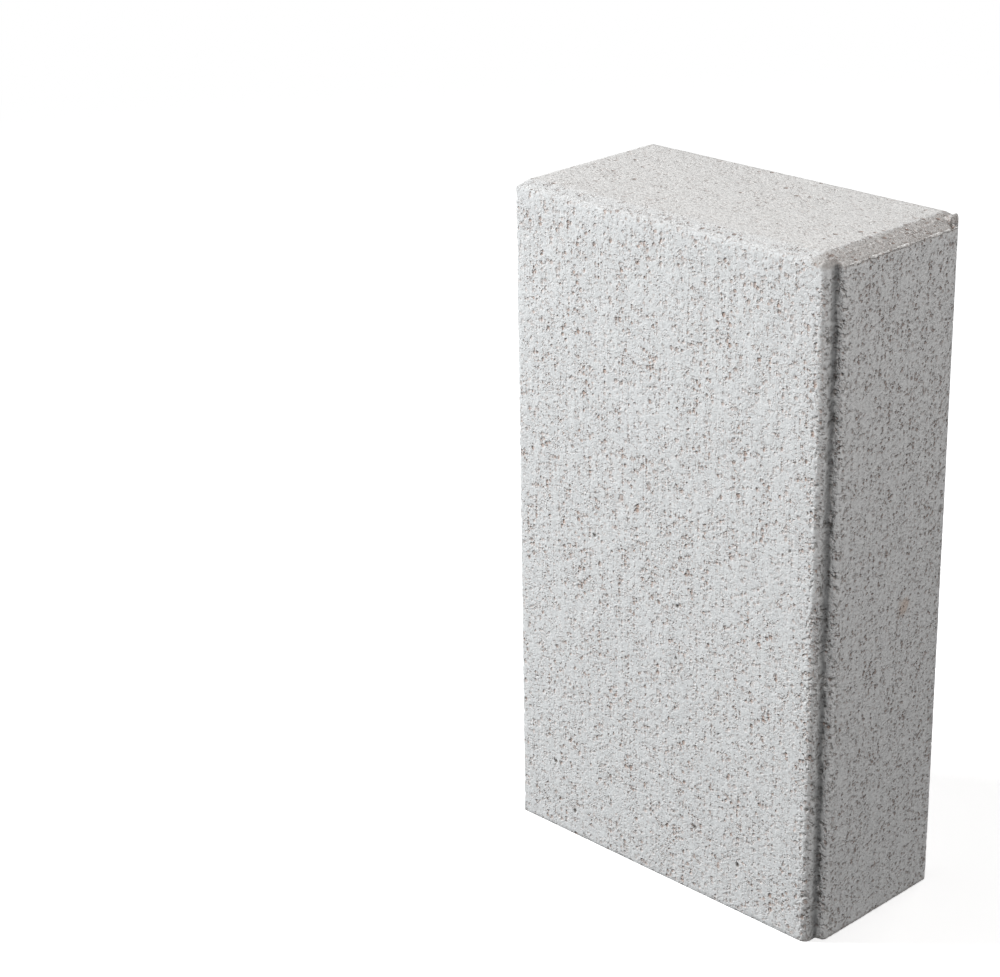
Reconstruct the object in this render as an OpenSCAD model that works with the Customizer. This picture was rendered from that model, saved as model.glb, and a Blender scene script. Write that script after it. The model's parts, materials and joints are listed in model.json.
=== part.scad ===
// Upright concrete edging block, pressed in one piece.
//
// The block stands on its short bottom face. Blocks are set end to end in a
// row. The spacer down one end butts against the plain end of the next block,
// and this leaves an even groove between their faces on both sides of the row.
//
// Axes: X runs along the row towards the spacer, Y from the front face to the
// back face, Z up. Origin: the middle of the footprint, on the ground.

/* [Block] */
// Length along the row, with the spacer
unit_length = 200; // [120:1:400]
// Thickness from the front face to the back face
thickness = 100; // [60:1:200]
// Height as it stands
height = 350; // [150:1:600]

/* [Spacer] */
// How far the spacer stands out from the end face
spacer_depth = 5; // [2:0.5:10]
// Distance from the front or back face to the side of the spacer
spacer_margin = 8; // [5:0.5:20]
// Radius of the spacer's two outer upright edges
spacer_edge_radius = 3; // [0.5:0.25:4]

/* [Edges] */
// Radius of the two upright edges beside the spacer
end_edge_radius = 4; // [1:0.5:5]
// Width of the chamfer along the top front edge
front_chamfer_width = 10; // [4:0.5:20]
// Drop of the chamfer along the top front edge
front_chamfer_drop = 2; // [1:0.25:6]
// Width of the chamfer down to the outer top edge of the spacer
end_chamfer_width = 14; // [9:0.5:30]
// Drop of that chamfer
end_chamfer_drop = 3.25; // [1:0.25:6]
// Length along the row of the back corner that the chamfer leaves standing
corner_length = 4; // [1:0.5:8]

/* [Hidden] */

// Length of the block without its spacer
body_length = unit_length - spacer_depth;
// The two ends of the whole block, as places on X
plain_end = -unit_length / 2;
spacer_end = plain_end + unit_length;
// Width of the spacer across the end face
spacer_width = thickness - 2 * spacer_margin;
// How far a cutting solid runs past the surface that it cuts
overrun = 1;
// Segments of a full circle
$fn = 48;

// Rectangle from X = 0 to length, centred on Y, with both far corners rounded.
module round_ended_plan(length, width, radius) {
    translate([0, -width / 2]) square([length - radius, width]);
    translate([0, radius - width / 2]) square([length, width - 2 * radius]);
    for (side = [-1, 1])
        translate([length - radius, side * (width / 2 - radius)]) circle(r = radius);
}

// Outline of the block seen from above: the body, and the spacer through it.
module plan() {
    translate([plain_end, 0]) {
        round_ended_plan(body_length, thickness, end_edge_radius);
        round_ended_plan(unit_length, spacer_width, spacer_edge_radius);
    }
}

// Wedge of waste over a chamfer that falls by drop between X = 0 and width. It
// runs from Y = 0 to length, and starts on Z = 0.
module chamfer_waste(width, drop, length) {
    reach = width + overrun;
    translate([0, length, 0])
        rotate([90, 0, 0])
            linear_extrude(height = length)
                polygon([[0, 0], [reach, -drop * reach / width], [reach, overrun], [0, overrun]]);
}

// Chamfer along the whole top front edge.
module front_chamfer() {
    translate([plain_end - overrun, front_chamfer_width - thickness / 2, height])
        rotate([0, 0, -90])
            chamfer_waste(front_chamfer_width, front_chamfer_drop, unit_length + 2 * overrun);
}

// Back corner beside the spacer, which keeps its full height.
module standing_corner() {
    translate([plain_end + body_length - corner_length, spacer_width / 2, 0])
        cube([unit_length, thickness, height + 2 * overrun]);
}

// Chamfer down to the outer edge of the spacer, but for the standing corner.
module end_chamfer() {
    difference() {
        translate([spacer_end - end_chamfer_width, -thickness / 2 - overrun, height])
            chamfer_waste(end_chamfer_width, end_chamfer_drop, thickness + 2 * overrun);
        standing_corner();
    }
}

module edging_block() {
    color("gainsboro")
        difference() {
            linear_extrude(height = height) plan();
            front_chamfer();
            end_chamfer();
        }
}

edging_block();
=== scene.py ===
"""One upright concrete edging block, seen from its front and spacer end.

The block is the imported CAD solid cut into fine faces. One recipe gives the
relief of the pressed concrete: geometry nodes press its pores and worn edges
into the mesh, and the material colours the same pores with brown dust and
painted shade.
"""

import json
from math import radians

import bmesh
import bpy
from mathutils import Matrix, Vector

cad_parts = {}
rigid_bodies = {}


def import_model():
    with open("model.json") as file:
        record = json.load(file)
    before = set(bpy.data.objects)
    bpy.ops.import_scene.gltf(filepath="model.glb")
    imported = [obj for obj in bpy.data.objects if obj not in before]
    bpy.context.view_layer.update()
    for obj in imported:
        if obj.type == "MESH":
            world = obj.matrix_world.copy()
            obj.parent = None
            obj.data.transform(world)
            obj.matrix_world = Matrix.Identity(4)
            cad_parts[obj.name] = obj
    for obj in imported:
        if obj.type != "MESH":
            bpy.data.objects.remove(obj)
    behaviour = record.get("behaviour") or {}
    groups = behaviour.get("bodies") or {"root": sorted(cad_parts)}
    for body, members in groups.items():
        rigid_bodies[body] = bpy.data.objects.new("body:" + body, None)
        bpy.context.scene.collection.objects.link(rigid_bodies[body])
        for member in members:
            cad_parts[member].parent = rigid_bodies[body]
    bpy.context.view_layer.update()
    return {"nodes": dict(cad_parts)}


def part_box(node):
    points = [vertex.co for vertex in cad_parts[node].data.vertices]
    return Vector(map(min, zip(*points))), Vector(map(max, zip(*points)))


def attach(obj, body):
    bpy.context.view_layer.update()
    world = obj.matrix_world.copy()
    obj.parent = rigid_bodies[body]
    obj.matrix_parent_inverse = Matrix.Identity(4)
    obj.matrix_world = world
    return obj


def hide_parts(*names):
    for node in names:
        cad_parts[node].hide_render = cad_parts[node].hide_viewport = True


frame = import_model()

NODE = "edging_block"
MM = 0.001  # metres in a millimetre

# Mesh of the block: size of its first faces in millimetres, triangles that it
# keeps, and the angle in degrees from which an edge of the CAD solid is sharp
VOXEL = 0.6
MOST_TRIANGLES = 194000
SHARP_ANGLE = 30

# Places on the CAD solid that the recipe follows, in millimetres
LOW, HIGH = (Vector(corner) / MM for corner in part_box(NODE))
END = HIGH.x
TOP = HIGH.z
BODY_END = END - 5
SPACER_SIDE = HIGH.y - 8
SPACER_TOP = TOP - 3.25
END_CHAMFER_START = END - 14
FRONT_CHAMFER_START = LOW.y + 10
# Past this corner, in metres, lies the end chamfer, whose faces all stay fine
FINE_FROM = Vector((END - 15, 0, TOP - 5.5)) * MM

# Heights and depths of the relief, in millimetres
PORE_DEPTH = 0.8
FINE_PORE_DEPTH = 0.8
CRUMBLE_DEPTH = 0.6
WEAR_DEPTH = 0.45
BURR_HEIGHT = 0.28
RIDGE_HEIGHT = 0.25
WAVES_MEAN = 0.13

# Colours of the smooth cement skin, of the pressed top, of the sand where the
# skin is gone, and the painted highlight on the lip along the spacer
MATRIX = (0.77, 0.78, 0.783)
PRESSED = (0.777, 0.766, 0.752)
SAND = (0.582, 0.565, 0.549)
BURR_HIGHLIGHT = (0.97, 0.965, 0.95)
# Colours in the fine pores of the front, the back and the plain end, in the
# fine pores of the top and the spacer end, and in the large pores: brown dust
# and painted shade inside the pores; and the painted shade in the two corners
# beside the spacer
SIDE_PORE_DUST_AND_SHADE = (0.345, 0.12, 0.02)
TOP_AND_END_PORE_DUST_AND_SHADE = (0.23, 0.11, 0.065)
LARGE_PORE_DUST_AND_SHADE = (0.11, 0.07, 0.035)
SHADE = (0.075, 0.079, 0.081)

# Rust mark on the spacer face: its colour, and its place in millimetres
RUST = (0.6, 0.48, 0.4)
RUST_PLACE = (END, 11.7, 163)

# Camera of the photograph, in the frame of the block: place in metres, turn in
# degrees, and focal length and sensor width in millimetres
CAMERA_PLACE = (0.78615, -0.92674, 0.69314)
CAMERA_TURN = (67.9221, 0.9348, 45.3863)
CAMERA_LENS = 94.198
CAMERA_SENSOR = 36

# Strength of the light from all round; colour of the floor in the light that it
# throws back, and its colour and glow as the camera sees it
SURROUND = 0.27
FLOOR_BOUNCE = (0.06, 0.06, 0.06, 1)
FLOOR_SEEN = (0.9, 0.9, 0.9, 1)
FLOOR_GLOW = 0.5
WHITE = (1, 1, 1, 1)


# ---------------------------------------------------------------- node formulas


class Field:
    """A number or vector that nodes work out, in a material or in geometry nodes."""

    def __init__(self, tree, socket):
        self.tree = tree
        self.socket = socket

    def plug(self, socket, value):
        if isinstance(value, Field):
            self.tree.links.new(value.socket, socket)
        else:
            socket.default_value = value

    def node(self, kind, out=0, inputs=(), **settings):
        """Output of a new node with these settings and inputs."""
        made = self.tree.nodes.new(kind)
        for name, value in settings.items():
            setattr(made, name, value)
        for name, value in dict(inputs).items():
            self.plug(made.inputs[name], value)
        return Field(self.tree, made.outputs[out])

    def math(self, operation, other=0):
        return self.node("ShaderNodeMath", operation=operation, inputs={0: self, 1: other})

    def __add__(self, other):
        return self.math("ADD", other)

    def __sub__(self, other):
        return self.math("SUBTRACT", other)

    def __mul__(self, other):
        return self.math("MULTIPLY", other)

    def most(self, other):
        return self.math("MAXIMUM", other)

    def absolute(self):
        return self.math("ABSOLUTE")

    def step(self, start, end, low=0.0, high=1.0):
        """Smooth change from low at start to high at end."""
        values = {"Value": self, "From Min": start, "From Max": end, "To Min": low, "To Max": high}
        return self.node("ShaderNodeMapRange", interpolation_type="SMOOTHSTEP", inputs=values)

    def blend(self, low, high):
        """Colour from low at 0 to high at 1."""
        factor, first, second = 0, 4, 5  # sockets of a mix node that mixes vectors
        values = {factor: self, first: low, second: high}
        return self.node("ShaderNodeMix", 1, values, data_type="VECTOR")

    def vector(self, operation, other):
        return self.node("ShaderNodeVectorMath", operation=operation, inputs={0: self, 1: other})

    def scaled(self, factor):
        return self.node("ShaderNodeVectorMath", 0, {0: self, "Scale": factor}, operation="SCALE")

    def length(self):
        return self.node("ShaderNodeVectorMath", "Value", {0: self}, operation="LENGTH")

    def axis(self, name):
        return self.node("ShaderNodeSeparateXYZ", name, {0: self})

    def shifted(self, by):
        """The place moved by a vector, so that a pattern doesn't repeat another one."""
        return self.vector("ADD", by)

    def bent(self, amount, size):
        """The place moved by noise, so that round shapes turn ragged."""
        shift = self.noise(size, out="Color").vector("SUBTRACT", (0.5, 0.5, 0.5))
        return self.vector("ADD", shift.vector("MULTIPLY", (amount, amount, amount)))

    def noise(self, size, detail=0.0, rough=0.5, out="Fac"):
        """Noise about 0.5, with lumps of this size."""
        values = {"Vector": self, "Scale": 1 / size, "Detail": detail, "Roughness": rough}
        return self.node("ShaderNodeTexNoise", out, values)

    def cells(self, size, out):
        """Pattern of close-packed grains of this size."""
        values = {"Vector": self, "Scale": 1 / size}
        return self.node("ShaderNodeTexVoronoi", out, values, feature="F1")


# ---------------------------------------------------------------- parts of the block


def spacer_end(place):
    """1 on the spacer and on the end face beside it."""
    return place.axis("X").step(BODY_END - 1.5, BODY_END - 0.5)


def front_lip(place):
    """1 on the chamfer along the top front edge, and below it."""
    return place.axis("Y").step(FRONT_CHAMFER_START + 3, FRONT_CHAMFER_START - 4)


def upright_edge(place):
    """1 along the upright edges of the end and of the spacer, which break first."""
    side = place.axis("Y").absolute().step(SPACER_SIDE - 8, SPACER_SIDE - 3)
    below = place.axis("Z").step(TOP - 5, TOP - 9)
    return side * below * place.axis("X").step(BODY_END - 10, BODY_END - 3)


def inner_corner(place):
    """Shade from 1 in the two corners beside the spacer to 0 a few mm from them."""
    bent = place.bent(2, 4)
    out = bent.axis("X") - BODY_END
    along = bent.axis("Y").absolute() - SPACER_SIDE
    below = place.axis("Z").step(TOP - 2.5, TOP - 4)
    # The shade reaches farther over the end face than out along the spacer
    far = (out * out * 18 + along * along).math("POWER", 0.5)
    return far.step(6.5, 1) * below


def openness(place, sides):
    """How open the skin is.

    It is 0 on the pressed top, 0.65 on the front chamfer and 1 on the end
    chamfer. On the faces that slid along the mould it is 1, less near the top
    edges, and 1.65 at the spacer end.
    """
    end = spacer_end(place)
    skin = place.axis("Z").step(TOP - 3, TOP - 20, 0.45, 1.0).most(end)
    band = place.axis("X").step(END_CHAMFER_START - 1, END_CHAMFER_START + 1)
    return (sides * skin).most(band).most(front_lip(place) * 0.65) + end * sides * 0.65


# ---------------------------------------------------------------- relief


def pores(place, spacing, share, largest):
    """Depth from 0 to 1 of round pores, in a share of the grains that lie this far apart."""
    chance = place.cells(spacing, "Color").axis("X")
    radius = chance.step(share, 0.0, 0.0, largest / spacing)
    gap = place.cells(spacing, "Distance")
    return ((radius - gap) * (spacing / largest)).step(0.0, 0.6)


def large_pores(place, rough):
    """Depth from 0 to 1 of the pores that the mesh can hold."""
    drawn = place.bent(1.0, 1.6).shifted((90, 0, 0))
    holes = pores(drawn, spacing=14, share=0.35, largest=1.5)
    broken = place.noise(2.4, 2).step(0.45, 0.3) * upright_edge(place) * 0.5
    return holes.most(broken) * (rough * 0.6 + 0.4)


def crack(place):
    """Depth from 0 to 1 of the short crack from the standing corner over the end chamfer."""
    # Distance from a line that runs aslant through the foot of the corner
    slanted = (place.axis("X") - BODY_END) * 0.77 + (place.axis("Y") - SPACER_SIDE) * 0.64
    across = slanted + place.noise(2).step(0.3, 0.7, -0.6, 0.6)
    along = place.axis("X").step(BODY_END - 0.5, BODY_END) * place.axis("Z").step(TOP - 5, TOP - 4)
    return across.absolute().step(0.8, 0.1) * along * 0.8


def burr(place):
    """1 on the ragged lip that the press left along the top of the spacer."""
    along = place.vector("MULTIPLY", (0, 1, 0)).shifted((0, 0, 7))
    line = place.vector("SUBTRACT", (END, 0, SPACER_TOP)).vector("MULTIPLY", (1, 0, 1))
    gap = line.length() + along.noise(4, 2).step(0.3, 0.7, -0.3, 0.5)
    side = place.axis("Y").absolute().step(SPACER_SIDE, SPACER_SIDE - 2)
    broken = along.noise(2, 2).step(0.36, 0.44, 0.3, 1.0)
    return gap.step(1.1, 0.5) * side * broken


def ridge(place):
    """Height in mm of the thin line across the end chamfer, where two mould parts met."""
    along = place.vector("MULTIPLY", (0, 1, 0)).shifted((0, 0, 3))
    swing = along.noise(7, 2).step(0.3, 0.7, -1.0, 1.0)
    gap = (place.axis("X") - (END - 8) + swing).absolute()
    top = place.axis("Z").step(TOP - 4, TOP - 3)
    return gap.step(1.3, 0) * top * along.noise(3, 2).step(0.4, 0.6, 0.0, RIDGE_HEIGHT)


def wear(place, edge, off_lip):
    """Depth in mm that the edges are worn round, but for the lip and those on the ground."""
    # 1 on the edge, and 0 from 3.7 mm on
    near = (edge * -0.27 + 1).most(0)
    return near * near * near * place.axis("Z").step(0, 20) * off_lip * WEAR_DEPTH


def relief(place, edge, sides):
    """(depth below the flat face in mm, how much of a pore it is) at a place in mm.

    edge is the distance to the nearest sharp edge, and sides is 1 on the faces
    that slid along the mould and 0 on the pressed top.
    """
    lip = burr(place)
    off_lip = lip.step(1, 0)
    pit = large_pores(place, openness(place, sides)).most(crack(place))
    height = place.axis("Z")
    brittle = edge.step(2.0, 0.3) * height.step(0, 8, 0.2, 1.0)
    brittle = brittle * height.step(TOP - 8, TOP - 3, 1.0, 0.1)
    crumble = brittle * place.noise(3.2, 2).step(0.42, 0.75) * off_lip
    depth = pit * PORE_DEPTH + crumble * CRUMBLE_DEPTH + wear(place, edge, off_lip)
    waves = place.noise(45) * 0.15 + place.noise(9) * 0.12
    depth = depth + waves - WAVES_MEAN
    return depth - lip * BURR_HEIGHT - ridge(place), pit


def grit(place, sides):
    """Fine texture between the large pores: (depth in mm, how open it is, brightness with painted
    shade in the dips of the lumps).
    """
    # Upright marks of the mould, and patches where the skin is closed
    streaks = place.vector("MULTIPLY", (1, 1, 0.07)).noise(1.7, 1).step(0.6, 0.42, 0.6, 1.05)
    patches = place.noise(6, 2).step(0.6, 0.42, 0.55, 1.05)
    rough = (openness(place, sides) * 0.5 + 0.5) * streaks * patches

    # Pores, which are smaller and closer on the spacer end
    finer = place.axis("X").math("GREATER_THAN", BODY_END - 1) * 0.32 + 1
    drawn = place.vector("MULTIPLY", finer).bent(1.0, 1.0)
    fine = pores(drawn, spacing=1.15, share=0.9, largest=1.05) * 0.4
    coarse = pores(drawn.shifted((30, 0, 0)), spacing=2.0, share=0.8, largest=1.45) * 0.85
    middle = pores(drawn.shifted((0, 50, 0)), spacing=3.6, share=0.55, largest=1.7)
    specks = pores(drawn.shifted((0, 0, 60)), spacing=6, share=0.6, largest=1.6) * sides.step(1, 0)
    open_part = (fine.most(coarse).most(middle) * rough).most(specks)

    # Lumps and grains of sand; the colour is painted darker in the dips of the lumps as shade and
    # lighter on their tops
    lumps = place.noise(1.5, 2, 0.6)
    grains = place.noise(0.6, 2, 0.8).step(0.3, 0.7, 1.0, -1.0)
    depth = open_part * FINE_PORE_DEPTH + (lumps - 0.5) * (rough * 0.5)
    # Painted shade in the dips of the lumps, and the random tone of the grains and the mould marks
    light = lumps.step(0.3, 0.7, 1.08, 0.92) * (grains * sides.step(0, 1, 0.28, 0.08) + 1)
    light = light * ((streaks - 1) * sides * -0.1 + 1)
    return depth, open_part, light


# ---------------------------------------------------------------- block mesh


def sharp_edges(mesh):
    """Mesh of the convex edges of the CAD solid, as lines."""
    solid = bmesh.new()
    solid.from_mesh(mesh)
    bmesh.ops.remove_doubles(solid, verts=solid.verts, dist=0.001 * MM)
    ends = [
        vertex.co.copy()
        for edge in solid.edges
        if edge.is_manifold and edge.calc_face_angle_signed() > radians(SHARP_ANGLE)
        for vertex in edge.verts
    ]
    solid.free()
    lines = bpy.data.meshes.new("sharp_edges")
    lines.from_pydata(ends, [(k, k + 1) for k in range(0, len(ends), 2)], [])
    return lines


def relief_nodes(edges):
    """Geometry nodes that press the relief into a fine mesh of the block."""
    tree = bpy.data.node_groups.new("concrete_relief", "GeometryNodeTree")
    for direction in ("INPUT", "OUTPUT"):
        tree.interface.new_socket("Geometry", in_out=direction, socket_type="NodeSocketGeometry")
    mesh = Field(tree, tree.nodes.new("NodeGroupInput").outputs[0])
    position = mesh.node("GeometryNodeInputPosition")
    normal = mesh.node("GeometryNodeInputNormal")
    lines = mesh.node("GeometryNodeObjectInfo", "Geometry", {"Object": edges})

    place = position.vector("MULTIPLY", (1 / MM, 1 / MM, 1 / MM))
    near = {"Geometry": lines}
    edge = mesh.node("GeometryNodeProximity", "Distance", near, target_element="EDGES") * (1 / MM)
    sides = normal.axis("Z").absolute().step(0.8, 0.5)
    kept = mesh
    for name, kind, value in (
        ("place", "FLOAT_VECTOR", place),
        ("edge", "FLOAT", edge),
        ("sides", "FLOAT", sides),
    ):
        inputs = {"Geometry": kept, "Name": name, "Value": value}
        kept = mesh.node("GeometryNodeStoreNamedAttribute", 0, inputs, data_type=kind, domain="POINT")

    depth = relief(place, edge, sides)[0]
    inward = {"Geometry": kept, "Offset": normal.scaled(depth * -MM)}
    pressed = mesh.node("GeometryNodeSetPosition", 0, inward)
    tree.links.new(pressed.socket, tree.nodes.new("NodeGroupOutput").inputs[0])
    return tree


def apply_modifiers(block):
    """Make what the modifiers show into the mesh of the block."""
    shown = block.evaluated_get(bpy.context.evaluated_depsgraph_get())
    mesh = bpy.data.meshes.new_from_object(shown)
    block.modifiers.clear()
    block.data = mesh


def press_relief(block, edges):
    """Cut the block into fine faces, and press the relief into them."""
    remesh = block.modifiers.new("fine_faces", "REMESH")
    remesh.mode = "VOXEL"
    remesh.voxel_size = VOXEL * MM
    block.modifiers.new("relief", "NODES").node_group = relief_nodes(edges)
    apply_modifiers(block)


def thin_out(block):
    """Drop the faces that the flat parts don't need, but none at the end chamfer."""
    mesh = block.data
    fine = [v.index for v in mesh.vertices if v.co.x > FINE_FROM.x and v.co.z > FINE_FROM.z]
    block.vertex_groups.new(name="fine").add(fine, 1.0, "REPLACE")
    fewer = block.modifiers.new("fewer_faces", "DECIMATE")
    fewer.vertex_group = "fine"
    fewer.invert_vertex_group = True
    fewer.ratio = MOST_TRIANGLES / (2 * len(mesh.polygons))
    apply_modifiers(block)


def block_piece():
    """The visible block, which stands for the CAD solid."""
    node = frame["nodes"][NODE]
    objects = bpy.context.scene.collection.objects
    edges = bpy.data.objects.new("sharp_edges", sharp_edges(node.data))
    objects.link(edges)
    block = bpy.data.objects.new("pressed_concrete_block", node.data.copy())
    objects.link(block)
    press_relief(block, edges)
    thin_out(block)
    bpy.data.objects.remove(edges)
    block.data.shade_smooth()
    block.data.materials.clear()
    block.data.materials.append(concrete())
    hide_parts(NODE)
    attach(block, "root")


# ---------------------------------------------------------------- materials


def worn(place, edge):
    """Where the skin is gone: 1 over the end chamfer, less on the edges beside the spacer."""
    below = place.axis("Z").step(TOP - 3, TOP - 6)
    ragged = place.bent(3.0, 3.0).axis("X")
    band = ragged.step(END_CHAMFER_START - 1, END_CHAMFER_START + 2) * below.step(1, 0)
    beside = edge.step(2.5, 0.5) * below * place.axis("X").step(BODY_END - 8, BODY_END - 3)
    return band.most(beside * 0.7)


def rust(place):
    """Strength of the faint rust mark on the spacer face."""
    far = place.bent(4, 3).vector("SUBTRACT", RUST_PLACE).length()
    return far.step(7, 1, 0.0, 0.7)


def concrete_colour(place, edge, sides, pit, fine_pit):
    """Colour of the skin and of what lies on it, with brown dust and painted shade in the pores and
    the crack, painted shade in the corners beside the spacer and a painted highlight on the lip.
    """
    colour = sides.most(openness(place, sides)).blend(PRESSED, MATRIX)
    colour = rust(place).blend(colour, RUST)
    colour = worn(place, edge).blend(colour, SAND)
    # Painted highlight on the lip along the top of the spacer, where it would catch the light
    colour = burr(place).blend(colour, BURR_HIGHLIGHT)
    # Painted shade and brown dust in the fine pores, then in the large pores and the crack
    pore_dust_shade = spacer_end(place).most(sides.step(1, 0)).blend(SIDE_PORE_DUST_AND_SHADE, TOP_AND_END_PORE_DUST_AND_SHADE)
    colour = (fine_pit * sides.step(0, 1, 0.65, 0.52)).blend(colour, pore_dust_shade)
    colour = (pit * 0.65).blend(colour, LARGE_PORE_DUST_AND_SHADE)
    return (inner_corner(place) * 0.75).blend(colour, SHADE)


def concrete():
    material = bpy.data.materials.new("pressed_concrete")
    material.use_nodes = True
    tree = material.node_tree
    shader = tree.nodes["Principled BSDF"]
    shader.inputs["Roughness"].default_value = 0.9
    shader.inputs["Specular IOR Level"].default_value = 0.2
    start = Field(tree, shader.outputs[0])
    place = start.node("ShaderNodeAttribute", "Vector", attribute_name="place")
    edge = start.node("ShaderNodeAttribute", "Fac", attribute_name="edge")
    sides = start.node("ShaderNodeAttribute", "Fac", attribute_name="sides")
    depth, pit = relief(place, edge, sides)
    fine_depth, fine_pit, grit_tone_and_shade = grit(place, sides)

    colour = concrete_colour(place, edge, sides, pit, fine_pit)
    # Painted shade on the chamfer along the top front edge and on its rounded edge, which tilt towards
    # the lamps
    chamfer_shade = front_lip(place) * (sides.step(1, 0) * 0.65).most(edge.step(3, 1))
    colour = colour.scaled(chamfer_shade.step(0, 1, 1, 0.9) * grit_tone_and_shade)
    start.plug(shader.inputs["Base Color"], colour)

    height = (depth + fine_depth) * -MM
    bump = start.node("ShaderNodeBump", "Normal", {"Height": height, "Strength": 1.0, "Distance": 1.0})
    start.plug(shader.inputs["Normal"], bump)
    return material


def seen_directly(tree):
    """1 for rays straight from the camera, or by way of a mirror or of glass."""
    ray = tree.nodes.new("ShaderNodeLightPath")
    camera_ray = Field(tree, ray.outputs["Is Camera Ray"])
    mirrored = Field(tree, ray.outputs["Is Glossy Ray"])
    through = Field(tree, ray.outputs["Is Transmission Ray"])
    return camera_ray.most(mirrored).most(through)


def floor_material():
    """White to the camera, apart from the shadow of the block; dim in the light it throws back."""
    material = bpy.data.materials.new("pale_floor")
    material.use_nodes = True
    tree = material.node_tree
    tree.nodes.clear()
    out = Field(tree, None)
    far = out.node("ShaderNodeTexCoord", "Object").length().step(0.6, 1.8)
    lit = out.node("ShaderNodeBsdfDiffuse", inputs={"Color": FLOOR_SEEN})
    glow = out.node("ShaderNodeEmission", inputs={"Color": WHITE, "Strength": FLOOR_GLOW})
    near = out.node("ShaderNodeAddShader", inputs={0: lit, 1: glow})
    white = out.node("ShaderNodeEmission", inputs={"Color": WHITE, "Strength": 1.0})
    shown = out.node("ShaderNodeMixShader", inputs={0: far, 1: near, 2: white})
    bounce = out.node("ShaderNodeBsdfDiffuse", inputs={"Color": FLOOR_BOUNCE})
    surface = out.node("ShaderNodeMixShader", inputs={0: seen_directly(tree), 1: bounce, 2: shown})
    out.plug(tree.nodes.new("ShaderNodeOutputMaterial").inputs["Surface"], surface)
    return material


# ---------------------------------------------------------------- studio


def floor():
    bpy.ops.mesh.primitive_plane_add(size=60)
    plane = bpy.context.object
    plane.name = "floor"
    plane.data.materials.append(floor_material())


def lamp(name, place, target, size, power, colour):
    """Round lamp: place, target and size in metres, and power in watts."""
    light = bpy.data.lights.new(name, "AREA")
    light.shape = "DISK"
    light.size = size
    light.energy = power
    light.color = colour
    holder = bpy.data.objects.new(name, light)
    holder.location = place
    aim = Vector(target) - Vector(place)
    holder.rotation_euler = aim.to_track_quat("-Z", "Y").to_euler()
    bpy.context.scene.collection.objects.link(holder)


def lamps():
    """A key lamp from the front left, a weak one from the right and one low behind the block."""
    middle = (0, 0, 0.17)
    front_left = (-1.54, -1.16, 1.14)
    lamp("key", front_left, middle, size=0.65, power=51, colour=(0.97, 0.99, 1.0))
    front_right = (1.05, -0.42, 0.95)
    upper = (0, 0, 0.2)
    lamp("fill", front_right, upper, size=0.9, power=7.0, colour=(1.0, 0.972, 0.957))
    behind = (-0.3, 2.0, 0.35)
    lamp("back", behind, middle, size=1.0, power=14, colour=(1.0, 1.0, 1.0))


def world():
    """Dim even light, and plain white where the camera sees past the floor."""
    studio = bpy.data.worlds.new("studio")
    bpy.context.scene.world = studio
    studio.use_nodes = True
    tree = studio.node_tree
    light = tree.nodes["Background"]
    light.inputs["Color"].default_value = WHITE
    direct = seen_directly(tree)
    direct.plug(light.inputs["Strength"], direct.step(0, 1, SURROUND, 1.0))


def camera():
    view = bpy.data.cameras.new("photo_camera")
    view.lens = CAMERA_LENS
    view.sensor_width = CAMERA_SENSOR
    view.clip_end = 100
    holder = bpy.data.objects.new("photo_camera", view)
    holder.location = CAMERA_PLACE
    holder.rotation_euler = [radians(a) for a in CAMERA_TURN]
    bpy.context.scene.collection.objects.link(holder)
    bpy.context.scene.camera = holder


bpy.context.scene.view_settings.view_transform = "Standard"
camera()
world()
floor()
lamps()
block_piece()
